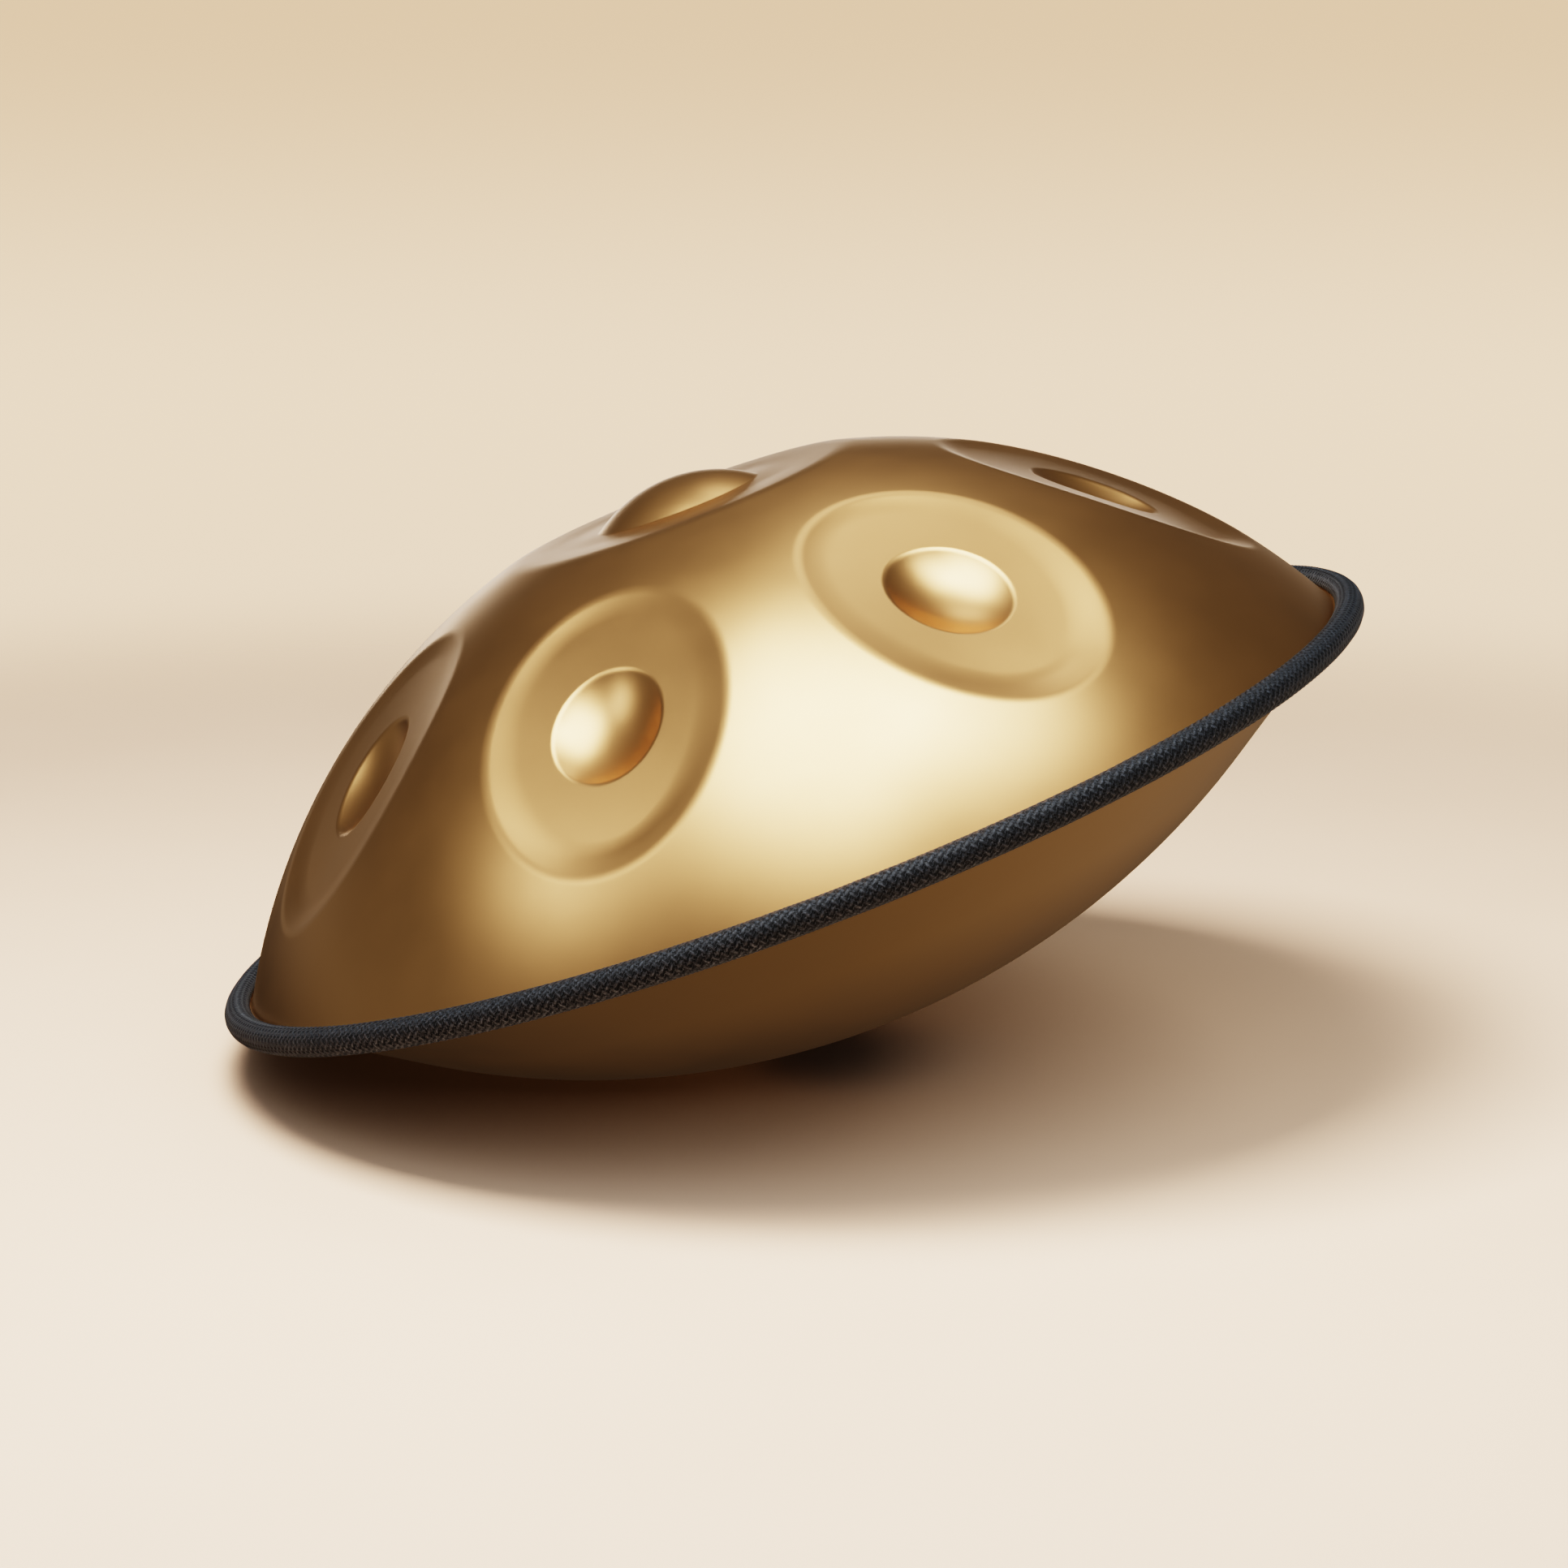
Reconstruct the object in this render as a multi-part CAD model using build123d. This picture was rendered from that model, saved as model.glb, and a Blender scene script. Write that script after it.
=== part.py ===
from build123d import *
from math import cos, degrees, hypot, radians, sin, sqrt, tan
import os

# Handpan: two drawn steel shells glued flange to flange, with a rope round the rim.
# Millimetres and degrees. Profiles are drawn as (radius, height) with height 0 on the
# seam between the flanges; each finished node is lifted so that height 0 is the lowest
# point of the instrument, on its axis.

# Sheet steel
SHEET = 1.2  # thickness of both shells
FLANGE_R = 264.5  # trimmed edge of the two flanges
GLUE = 0.3  # adhesive between the flanges

# Top shell
DOME_R = 296.5  # radius of the spherical dome, outside
DOME_HEIGHT = 153.2  # top of that sphere above the seam
DOME_BEND = 1.5  # outside bend radius from dome to flange
DING_FLAT_HEIGHT = 142.6  # flat ring of the centre note above the seam
DING_DOME_R = 37.6  # radius of the raised centre dome at its foot
DING_DOME_RISE = 12.0

# Ring of tone fields on the top shell
NOTES = 7
FIRST_NOTE_ANGLE = -109.7  # from +X, the note to the left of the front
NOTE_R = 179.4  # centre of a field, from the axis
NOTE_HEIGHT = 83.9  # centre of a field, above the seam
NOTE_TILT = 38.8  # field normal, from the vertical
FIELD_SINK = 1.2  # field centre below the dome's natural chord
FIELD_CURVE_R = 760.0  # slight crown of a field along its length
BORDER_A = 46.0  # foot of the border, along the ring, level with the field's middle
BORDER_B = 80.0  # foot of the border, up the slope, at the same level
BORDER_UP = 1.0  # border's middle up the slope from the field's
BORDER_SLOPE = 15.0  # lean of the soft border round a field
DIMPLE_A = 24.8
DIMPLE_B = 30.5
DIMPLE_DEPTH = 9.0
DIMPLE_UP = 3.0  # dimple centre up the slope from the field centre
CUT_BELOW = 8.0  # how far the space cut for a field reaches below its plane
CUT_ABOVE = 14.0  # and above it, clear of the dome

# Bottom shell
BOWL_R = 355.6  # radius of the spherical belly, outside
BOWL_DEPTH = 104.3  # bottom of that sphere below the seam
BOWL_WALL = 35.3  # slope where the belly turns into a straight cone
BOWL_BEND = 3.0  # bend radius from cone to flange
PORT_R = 50.0  # bore of the port neck
PORT_CURL = 8.0  # radius where the bowl curls in to the neck
PORT_NECK = 20.0  # length of the straight neck

# Rim: rubber channel over the flanges, rope glued round it
TRIM = 0.9  # wall of the channel
TRIM_LIP_R = 259.8  # free edges of the channel, nearest the shell wall
TRIM_LIP_FILLET = 0.35
ROPE_RING_R = 265.6  # centre line of the rope
ROPE_R = 5.8
ROPE_CORE_R = 4.2
ROPE_GLUE = 0.3
ROPE_GAP = 0.6  # between the rope's two butted ends
JOIN_ANGLE = 82.0  # where the ends meet, at the back
PATCH = 0.5  # thickness of the strip over the joint
PATCH_LENGTH = 30.0

# Derived
FLANGE_Z = GLUE / 2
FLANGE_TOP = FLANGE_Z + SHEET
DOME_Z = DOME_HEIGHT - DOME_R
BOWL_Z = BOWL_R - BOWL_DEPTH
TRIM_HALF = FLANGE_TOP + TRIM
TRIM_R = FLANGE_R + TRIM
CURL_R = PORT_R + PORT_CURL
CURL_Z = BOWL_Z - sqrt((BOWL_R - PORT_CURL) ** 2 - CURL_R**2)
SEAM_HEIGHT = PORT_CURL - CURL_Z
NECK_TOP = CURL_Z + PORT_NECK


def arc(centre, radius, start, end):
    """Arc about a centre, through two points that lie on it."""
    middle = Vector(*start) + Vector(*end) - Vector(*centre) * 2
    via = Vector(*centre) + middle.normalized() * radius
    return ThreePointArc(start, (via.X, via.Y), end)


def turned(edges):
    """Solid of revolution of a closed (radius, height) outline."""
    return revolve(Plane.XZ * make_face(edges), Axis.Z)


def on_dome(radius, height):
    """Distance from the axis of a sphere about the dome's centre, at a height."""
    return sqrt(radius**2 - (height - DOME_Z) ** 2)


def plain_dome():
    """Top shell before its ring of notes is formed: centre note, dome, bend and flange."""
    outline = []
    cap_r = (DING_DOME_R**2 + DING_DOME_RISE**2) / (2 * DING_DOME_RISE)
    cap_z = DING_FLAT_HEIGHT + DING_DOME_RISE - cap_r
    bend_z = FLANGE_TOP + DOME_BEND
    bend_r = on_dome(DOME_R + DOME_BEND, bend_z)
    bend = (bend_r, bend_z)
    away = hypot(bend_r, bend_z - DOME_Z)
    ends = []
    for depth in (0, SHEET):
        flat = DING_FLAT_HEIGHT - depth
        foot = (sqrt((cap_r - depth) ** 2 - (flat - cap_z) ** 2), flat)
        rim = (on_dome(DOME_R - depth, flat), flat)
        share = (DOME_R - depth) / away
        tangent = (bend_r * share, DOME_Z + (bend_z - DOME_Z) * share)
        level = FLANGE_TOP - depth
        outline += [
            arc((0, cap_z), cap_r - depth, (0, cap_z + cap_r - depth), foot),
            Line(foot, rim),
            arc((0, DOME_Z), DOME_R - depth, rim, tangent),
            arc(bend, DOME_BEND + depth, tangent, (bend_r, level)),
            Line((bend_r, level), (FLANGE_R, level)),
        ]
        ends.append((0, cap_z + cap_r - depth))
    outline.append(Line(ends[0], ends[1]))
    outline.append(Line((FLANGE_R, FLANGE_TOP), (FLANGE_R, FLANGE_Z)))
    return turned(outline)


def note_plane():
    """Plane of a field on the -X side: x along the ring, y up the slope, z out of the shell."""
    tilt = radians(NOTE_TILT)
    normal = Vector(-sin(tilt), 0, cos(tilt))
    centre = Vector(-NOTE_R, 0, NOTE_HEIGHT) - normal * FIELD_SINK
    return Plane(origin=centre, x_dir=Vector(0, -1, 0), z_dir=normal)


def note_hollow(depth):
    """Space over a formed field and its dimple, lowered by a depth. Local to its plane."""
    spread = 1 / tan(radians(BORDER_SLOPE))
    rings = [
        Pos(0, BORDER_UP, z) * Ellipse(BORDER_A + z * spread, BORDER_B + z * spread)
        for z in (-CUT_BELOW, CUT_ABOVE)
    ]
    hollow = loft(Sketch() + rings)
    past_both_sides = 5.4 * BORDER_B
    crown = Cylinder(FIELD_CURVE_R, past_both_sides, rotation=(0, 90, 0))
    hollow -= Pos(0, 0, -FIELD_CURVE_R) * crown
    bowl_r = (DIMPLE_A**2 + DIMPLE_DEPTH**2) / (2 * DIMPLE_DEPTH)
    bowl = scale(Sphere(bowl_r), by=(1, DIMPLE_B / DIMPLE_A, 1))
    hollow += Pos(0, DIMPLE_UP, bowl_r - DIMPLE_DEPTH) * bowl
    return Pos(0, 0, -depth) * hollow


def top_shell():
    """The plain dome with each note's patch of sheet cut out and put back as formed."""
    place = note_plane()
    ball = Pos(0, 0, DOME_Z) * Sphere(DOME_R)
    cut = place * note_hollow(SHEET)
    formed = (cut - place * note_hollow(0)) & ball
    between_notes = FIRST_NOTE_ANGLE + 180 / NOTES
    shell = Rot(0, 0, between_notes) * plain_dome()
    for note in range(NOTES):
        turn = Rot(0, 0, FIRST_NOTE_ANGLE - 180 + note * 360 / NOTES)
        shell = shell - turn * cut + turn * formed
    return shell


def bottom_shell():
    outline = []
    slope = radians(BOWL_WALL)
    bend_z = -FLANGE_TOP - BOWL_BEND
    cone_start = (BOWL_R * sin(slope), BOWL_Z - BOWL_R * cos(slope))
    outward = (sin(slope), -cos(slope))
    bend_r = cone_start[0] + BOWL_BEND * outward[0]
    bend_r += (bend_z - cone_start[1] - BOWL_BEND * outward[1]) / tan(slope)
    bend = (bend_r, bend_z)
    curl = (CURL_R, CURL_Z)
    away = hypot(CURL_R, CURL_Z - BOWL_Z)
    for depth in (0, SHEET):
        belly = BOWL_R - depth
        share = belly / away
        foot = (CURL_R * share, BOWL_Z + (CURL_Z - BOWL_Z) * share)
        start = (belly * sin(slope), BOWL_Z - belly * cos(slope))
        reach = BOWL_BEND + depth
        tangent = (bend_r - reach * outward[0], bend_z - reach * outward[1])
        level = -FLANGE_TOP + depth
        neck = (PORT_R + depth, CURL_Z)
        outline += [
            Line((PORT_R + depth, NECK_TOP), neck),
            arc(curl, PORT_CURL - depth, neck, foot),
            arc((0, BOWL_Z), belly, foot, start),
            Line(start, tangent),
            arc(bend, reach, tangent, (bend_r, level)),
            Line((bend_r, level), (FLANGE_R, level)),
        ]
    outline.append(Line((PORT_R, NECK_TOP), (PORT_R + SHEET, NECK_TOP)))
    outline.append(Line((FLANGE_R, -FLANGE_TOP), (FLANGE_R, -FLANGE_Z)))
    return turned(outline)


def section(radius_from, radius_to, half_height):
    """Rectangle in a (radius, height) section, centred on the seam."""
    width = radius_to - radius_from
    return Pos((radius_from + radius_to) / 2, 0) * Rectangle(width, 2 * half_height)


def swept(sketch, angle=360, start=0):
    """A section turned round the axis, from a starting angle."""
    return Rot(0, 0, start) * revolve(Plane.XZ * sketch, Axis.Z, angle)


def rope_section(radius):
    return Pos(ROPE_RING_R, 0) * Circle(radius)


def around_rim(sketch):
    """A section taken round the rim, with the small gap where the ends butt."""
    gap = degrees(ROPE_GAP / ROPE_RING_R)
    return swept(sketch, 360 - gap, JOIN_ANGLE + gap / 2)


def flange_adhesive():
    inner_edge = on_dome(DOME_R + DOME_BEND, FLANGE_TOP + DOME_BEND)
    return swept(section(inner_edge, FLANGE_R, FLANGE_Z))


def edge_trim():
    channel = section(TRIM_LIP_R, TRIM_R, TRIM_HALF) - section(TRIM_LIP_R, FLANGE_R, FLANGE_TOP)
    inner_corners = channel.vertices().group_by(Axis.X)[0]
    lips = [v for v in inner_corners if abs(v.Y) > FLANGE_TOP + TRIM / 2]
    return around_rim(fillet(lips, TRIM_LIP_FILLET))


def channel_space(margin):
    """Room that the channel takes, from inside the rope's section out to its back."""
    return section(TRIM_LIP_R - ROPE_R, TRIM_R + margin, TRIM_HALF + margin)


def rope_adhesive():
    return around_rim((rope_section(ROPE_CORE_R) & channel_space(ROPE_GLUE)) - channel_space(0))


def rope_core():
    return around_rim(rope_section(ROPE_CORE_R) - channel_space(ROPE_GLUE))


def rope_jacket():
    ring = rope_section(ROPE_R) - rope_section(ROPE_CORE_R)
    return around_rim(ring - channel_space(0))


def rope_join_patch():
    strip = rope_section(ROPE_R + PATCH) - rope_section(ROPE_R) - channel_space(PATCH)
    angle = degrees(PATCH_LENGTH / ROPE_RING_R)
    return swept(strip, angle, JOIN_ANGLE - angle / 2)


NODES = [
    top_shell,
    bottom_shell,
    flange_adhesive,
    edge_trim,
    rope_adhesive,
    rope_core,
    rope_jacket,
    rope_join_patch,
]

os.makedirs("parts", exist_ok=True)
for make in NODES:
    node = Pos(0, 0, SEAM_HEIGHT) * make()
    export_step(node, f"parts/{make.__name__}.step")
print(f"seam {SEAM_HEIGHT:.3f} mm up, port neck top {SEAM_HEIGHT + NECK_TOP:.3f} mm up")
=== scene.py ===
import math

import bpy
import numpy as np
from mathutils import Matrix, Vector
from mathutils.geometry import delaunay_2d_cdt


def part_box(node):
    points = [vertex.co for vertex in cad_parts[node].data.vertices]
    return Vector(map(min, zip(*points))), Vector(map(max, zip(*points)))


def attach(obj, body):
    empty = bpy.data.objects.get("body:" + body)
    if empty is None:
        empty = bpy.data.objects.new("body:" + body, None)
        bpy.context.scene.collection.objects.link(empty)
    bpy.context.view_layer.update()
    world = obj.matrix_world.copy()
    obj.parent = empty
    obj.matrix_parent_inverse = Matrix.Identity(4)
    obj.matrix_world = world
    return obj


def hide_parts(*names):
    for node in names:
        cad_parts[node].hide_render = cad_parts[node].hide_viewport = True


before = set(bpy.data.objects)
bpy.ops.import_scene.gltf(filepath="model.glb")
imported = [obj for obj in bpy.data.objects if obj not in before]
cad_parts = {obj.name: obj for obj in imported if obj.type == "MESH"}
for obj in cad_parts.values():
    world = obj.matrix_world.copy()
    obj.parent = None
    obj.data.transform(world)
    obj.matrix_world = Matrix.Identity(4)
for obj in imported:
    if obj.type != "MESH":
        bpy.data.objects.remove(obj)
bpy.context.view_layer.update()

# ---------------------------------------------------------------- sizes, in millimetres
# Shapes are worked out in millimetres with height 0 on the seam between the two flanges.
MM = 0.001
SHEET = 1.2
FLANGE_R = 264.5
FLANGE_TOP = 1.35
FLANGE_LOW = 0.15
EDGE_BREAK = 0.15  # bevel on the trimmed edges of the flanges
SEAM = sum(c.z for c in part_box("edge_trim")) / 2 / MM

DOME_R = 296.5
DOME_HEIGHT = 153.2  # top of the dome's sphere
DOME_Z = DOME_HEIGHT - DOME_R  # and its centre
DOME_BEND = 1.5
STRIP_Z = 8.0  # below this level the dome is a turned strip that runs into the flange
FLANGE_START = 2.0  # width of the flange's first ring, past the bend

DING_FLAT = 142.6
DING_DISH = 0.45  # how far the flat ring sinks just outside the centre dome
DING_DISH_R = 50.0
DING_DISH_WIDTH = 11.0
DING_DOME_R = 37.6
DING_DOME_RISE = 12.0
DING_FOOT = 0.5
DING_SHOULDER = 1.5
DING_PATCH_R = 93.0

NOTES = 7
FIRST_NOTE = math.radians(-109.7)
NOTE_R = 179.4
NOTE_HEIGHT = 83.9
NOTE_TILT = math.radians(38.8)
FIELD_SINK = 1.2
FIELD_CROWN_R = 760.0  # along the field's length
FIELD_HOLLOW_R = 720.0  # across it
CREST_A = 56.3  # the outline seen, where the border meets the dome
CREST_B = 74.8
CREST_UP = 0.6
BORDER_FALL = 0.33  # how fast the border leaves the dome's surface, inwards
BORDER_CREASE = 0.9  # how gently the border runs out into the field
BORDER_CREST = 0.9  # how gently it turns over into the dome
DIMPLE_A = 24.8
DIMPLE_B = 30.5
DIMPLE_DEPTH = 8.0
DIMPLE_UP = 3.0
DIMPLE_LIP = 0.9

BOWL_R = 355.6
BOWL_Z = 251.3  # centre of the bowl's sphere
BOWL_WALL = math.radians(35.3)
BOWL_BEND = 3.0
PORT_R = 50.0
PORT_CURL = 8.0
PORT_NECK = 20.0
PORT_LIP = 0.2  # rounding at the neck's end
PORT_LIP_IN = 0.25

TRIM = 0.9
TRIM_LIP_R = 259.8
TRIM_CORNER = 0.3
TRIM_CLEAR = 0.01  # between the channel and the flanges' edge
TRIM_LIP_FLAT = 0.04  # left of the lip's wall between its two rounded corners
ROPE_RING_R = 265.6
ROPE_R = 6.5  # over the tops of the strands
ROPE_INNER_R = 4.25
ROPE_GAP = 0.6
JOIN_ANGLE = math.radians(82)
PATCH = 0.5
PATCH_LENGTH = 30.0
PATCH_ENDS = [(0, 0.06), (0.12, 0.3), (0.35, 0.45), (0.8, PATCH)]  # distance from the end, thickness
PATCH_ROW_START = 1.6
PATCH_ROWS = 36
PATCH_RIPPLE = 0.03
PATCH_OVERLAP = 0.05  # how far the strip is sunk between the strands
BRAID_PITCH = 3.9  # along the rope, from strand to strand
BRAID_STRANDS = 8  # each way round
BRAID_BULGE = 0.62  # height of a strand's cross-section
BRAID_WEAVE = 0.26  # how far it rises over and dips under the others
BRAID_FLATTEN = 0.96  # how round a strand's cross-section is, out of 1
ROPE_LUMPS = 0.05  # slow unevenness along the rope
ROPE_PROUD = 0.02  # most that unevenness adds to the rope's radius
ROPE_SECTORS = 4

# ---------------------------------------------------------------- how finely surfaces are divided
BORDER_RINGS = [6.5 - 0.8 * i for i in range(34)]  # each ring's distance outside a field's outline
DIMPLE_RINGS = [5.0, 3.6, 2.7, 2.0, 1.4, 0.9, 0.5, 0.1, -0.3, -0.7, -1.1, -1.6, -2.2, -3.0, -4.2]
PLAIN_RINGS = 9  # steps from the border to the dimple, and from its lip to its middle
CENTRE_RINGS = [  # from, down to and step of the radii round the centre note
    (DING_PATCH_R, 66, 1.8),
    (65, 43, 2.6),
    (42, 33.5, 0.55),
    (32.5, 2.5, 2.7),
]
OUTSIDE_MESH = (120, 1, 4.2)  # points round a note, every how many rings, spacing on the dome
INSIDE_MESH = (60, 2, 8.0)
GRID_SHIFT = (0.013, 0.017)  # keeps the dome's grid of points off the symmetry lines
GRID_CLEAR = 0.7  # of its spacing, left between the grid and a patch
NORMAL_STEP = 0.02
TOP_SECTORS = 360
BOTTOM_SECTORS = 300
TRIM_STEPS = 500
NECK_ROWS = 9
NECK_ROW_GAP = 2.2
BRAID_STEPS = 5  # along the rope, for each crossing
ROPE_OUTER_POINTS = 56
ROPE_INNER_POINTS = 12
ROPE_INNER_MARGIN = 0.12  # radians that the cover's inner wall stops short of its slit
PATCH_POINTS = 60
TRIM_SHARP = math.radians(50)  # edges sharper than this keep a crease
PATCH_SHARP = math.radians(55)

# ---------------------------------------------------------------- view and stage
ROLL = math.radians(20.8)  # the instrument leans by this much in the view
ELEVATION = math.radians(9.82)  # of the camera over the plane of the rim
DISTANCE = 2.0097
AIM_RIGHT = -0.0025  # the view's centre from the rim's centre, in metres
AIM_UP = 0.0062
FIELD_OF_VIEW = math.radians(20)
FLOOR_PITCH = math.radians(12)  # how steeply the view looks down on the floor
FLOOR_RADIUS = 1.7
FLOOR_CLEAR = 0.0003
FLOOR_POINTS = 96
FADE_START = 0.62  # distances from the instrument's foot between which the floor fades out
FADE_END = 1.45
SIDE_REACH = 0.8  # how far to the right a direction has to point to see only the right of the room

# Place on these scales: 0 straight down, 0.5 at the horizon, 1 straight up.
BACKDROP = [
    (0.3135, (1.37, 1.00, 0.74)),
    (0.341, (1.75, 1.26, 0.92)),
    (0.362, (1.55, 1.12, 0.83)),
    (0.388, (1.15, 0.80, 0.55)),
    (0.3975, (1.08, 0.75, 0.51)),
    (0.438, (1.16, 0.78, 0.51)),
    (0.4825, (0.84, 0.54, 0.335)),
]
ROOM_LEFT = [
    (0.0, (0.16, 0.155, 0.14)),
    (0.08, (0.11, 0.105, 0.095)),
    (0.20, (0.03, 0.03, 0.03)),
    (0.40, (0.012, 0.012, 0.012)),
    (0.46, (0.08, 0.08, 0.08)),
    (0.50, (0.24, 0.24, 0.24)),
    (0.56, (0.12, 0.12, 0.12)),
    (0.64, (0.07, 0.07, 0.07)),
    (0.88, (0.09, 0.09, 0.09)),
]
ROOM_RIGHT = [
    (0.0, (0.19, 0.18, 0.16)),
    (0.25, (0.34, 0.32, 0.29)),
    (0.45, (0.44, 0.42, 0.39)),
    (0.50, (0.32, 0.31, 0.30)),
    (0.56, (0.14, 0.14, 0.14)),
    (0.64, (0.08, 0.08, 0.08)),
    (0.88, (0.09, 0.09, 0.09)),
]

# Name, azimuth, elevation, distance, width, height and the face's colour and brightness.
INSTRUMENT_LIGHTS = [
    ("overhead_left", -34, 70, 1.25, 0.8, 0.75, (4.3, 4.3, 4.3)),
    ("overhead_right", 40, 69, 1.25, 0.5, 0.5, (3.2, 3.2, 3.2)),
    ("left_side", -70, 34, 1.5, 0.5, 0.5, (1.9, 1.9, 1.9)),
    ("left_front", -25, 50, 1.5, 0.8, 0.4, (1.0, 1.0, 1.0)),
    ("top_back", 178, 64, 1.5, 0.45, 0.35, (1.6, 1.6, 1.6)),
    ("behind", 186, 5, 1.9, 1.4, 0.3, (2.0, 2.0, 2.0)),
]
FLOOR_LIGHTS = [
    ("floor_key", -38, 73, 1.25, 0.7, 0.7, (30, 24.2, 19.4)),
    ("floor_right", 95, 50, 1.25, 0.8, 0.8, (3.6, 3.0, 2.4)),
    ("floor_fill", 0, 40, 1.6, 2.2, 1.4, (2.5, 2.3, 2.1)),
]


# ---------------------------------------------------------------- small tools
def smooth_min(a, b, width):
    """The lower of two heights, blended where they are nearer than a width."""
    near = np.clip(width - np.abs(a - b), 0, None) / width
    return np.minimum(a, b) - near * near * width / 4


def smooth_max(a, b, width):
    return -smooth_min(-a, -b, width)


def new_piece(name, points, faces, material, normals=None, replaces=()):
    """A piece from points in millimetres over the seam, riding on the instrument's one body."""
    mesh = bpy.data.meshes.new(name)
    placed = (np.asarray(points) + (0, 0, SEAM)) * MM
    mesh.from_pydata(placed.tolist(), [], faces)
    mesh.validate()
    mesh.polygons.foreach_set("use_smooth", [True] * len(mesh.polygons))
    if normals is not None:
        mesh.normals_split_custom_set_from_vertices(np.asarray(normals).tolist())
    mesh.update()
    piece = bpy.data.objects.new(name, mesh)
    bpy.context.scene.collection.objects.link(piece)
    mesh.materials.append(material)
    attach(piece, "root")
    if replaces:
        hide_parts(*replaces)
    return piece


def unit(v):
    """Vectors scaled to length 1."""
    return v / np.linalg.norm(v, axis=-1, keepdims=True)


class Sheet:
    """Gathers points, their normals and faces of one surface."""

    def __init__(self):
        self.points = []
        self.normals = []
        self.faces = []

    def add(self, points, normals):
        """Adds points and gives their numbers."""
        start = len(self.points)
        self.points.extend(points.tolist())
        self.normals.extend(normals.tolist())
        return np.arange(start, start + len(points))

    def rings(self, rows):
        """Quads between successive closed rows of point numbers."""
        for low, high in zip(rows[:-1], rows[1:]):
            count = len(low)
            for i in range(count):
                j = (i + 1) % count
                self.faces.append((int(low[i]), int(low[j]), int(high[j]), int(high[i])))

    def fan(self, centre, ring):
        """Triangles from one point to a closed ring."""
        for i in range(len(ring)):
            self.faces.append((centre, int(ring[i]), int(ring[(i + 1) % len(ring)])))


# ---------------------------------------------------------------- top shell
def dome_height(r):
    """Height of the plain dome at a distance from the axis."""
    return DOME_Z + np.sqrt(DOME_R**2 - r**2)


def centre_height(r):
    """Height of the centre note at a distance from the axis."""
    cap_r = (DING_DOME_R**2 + DING_DOME_RISE**2) / (2 * DING_DOME_RISE)
    cap = DING_FLAT + DING_DOME_RISE - cap_r
    cap = cap + np.sqrt(np.clip(cap_r**2 - r**2, 0, None))
    dish = DING_DISH * np.exp(-(((r - DING_DISH_R) / DING_DISH_WIDTH) ** 2))
    flat = smooth_min(dome_height(r), DING_FLAT - dish, DING_SHOULDER)
    return smooth_max(flat, cap, DING_FOOT)


def note_frame():
    """Origin and the three directions of a field on the +X side."""
    normal = np.array((math.sin(NOTE_TILT), 0, math.cos(NOTE_TILT)))
    uphill = np.array((-math.cos(NOTE_TILT), 0, math.sin(NOTE_TILT)))
    origin = np.array((NOTE_R, 0, NOTE_HEIGHT)) - normal * FIELD_SINK
    return origin, np.array((0.0, 1.0, 0.0)), uphill, normal


def field_height(x, y):
    """Height of the sheet over a field's plane: x along the ring, y uphill."""
    origin, _, uphill, normal = note_frame()
    centre = np.array((0, 0, DOME_Z)) - origin
    dome = centre @ normal + np.sqrt(DOME_R**2 - x**2 - (y - centre @ uphill) ** 2)
    field = x**2 / (2 * FIELD_HOLLOW_R) - y**2 / (2 * FIELD_CROWN_R)
    above = y - CREST_UP
    ratio = np.hypot(x / CREST_A, above / CREST_B)
    steep = np.hypot(x / CREST_A**2, above / CREST_B**2) + 1e-9
    border = dome + (ratio - 1) * ratio / steep * BORDER_FALL
    sheet = smooth_max(field, border, BORDER_CREASE)
    sheet = smooth_min(dome, sheet, BORDER_CREST)
    bowl_r = (DIMPLE_A**2 + DIMPLE_DEPTH**2) / (2 * DIMPLE_DEPTH)
    across = x**2 + ((y - DIMPLE_UP) * DIMPLE_A / DIMPLE_B) ** 2
    bowl = bowl_r - DIMPLE_DEPTH - np.sqrt(np.clip(bowl_r**2 - across, 0, None))
    return smooth_min(sheet, bowl, DIMPLE_LIP)


def field_rings(sectors, skip):
    """Rings of (x, y) round a field, from outside its border to the dimple's middle."""
    t = np.arange(sectors) / sectors * 2 * math.pi

    def offset(a, b, up, distance):
        edge = np.stack((a * np.cos(t), up + b * np.sin(t)), 1)
        out = unit(np.stack((np.cos(t) / a, np.sin(t) / b), 1))
        return edge + distance * out

    rings = [offset(CREST_A, CREST_B, CREST_UP, d) for d in BORDER_RINGS]
    dimple = [offset(DIMPLE_A, DIMPLE_B, DIMPLE_UP, d) for d in DIMPLE_RINGS]
    steps = range(1, PLAIN_RINGS)
    between = [rings[-1] * (1 - k / PLAIN_RINGS) + dimple[0] * k / PLAIN_RINGS for k in steps]
    middle = np.array((0, DIMPLE_UP))
    inside = [middle + (dimple[-1] - middle) * (1 - k / PLAIN_RINGS) for k in steps]
    rings = rings + between + dimple + inside
    return rings[:1] + rings[1::skip]


def height_normals(height, x, y):
    """Upward normals of a surface that is given as a height over x and y."""
    dx = (height(x + NORMAL_STEP, y) - height(x - NORMAL_STEP, y)) / (2 * NORMAL_STEP)
    dy = (height(x, y + NORMAL_STEP) - height(x, y - NORMAL_STEP)) / (2 * NORMAL_STEP)
    return unit(np.stack((-dx, -dy, np.ones_like(dx)), 1))


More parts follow.
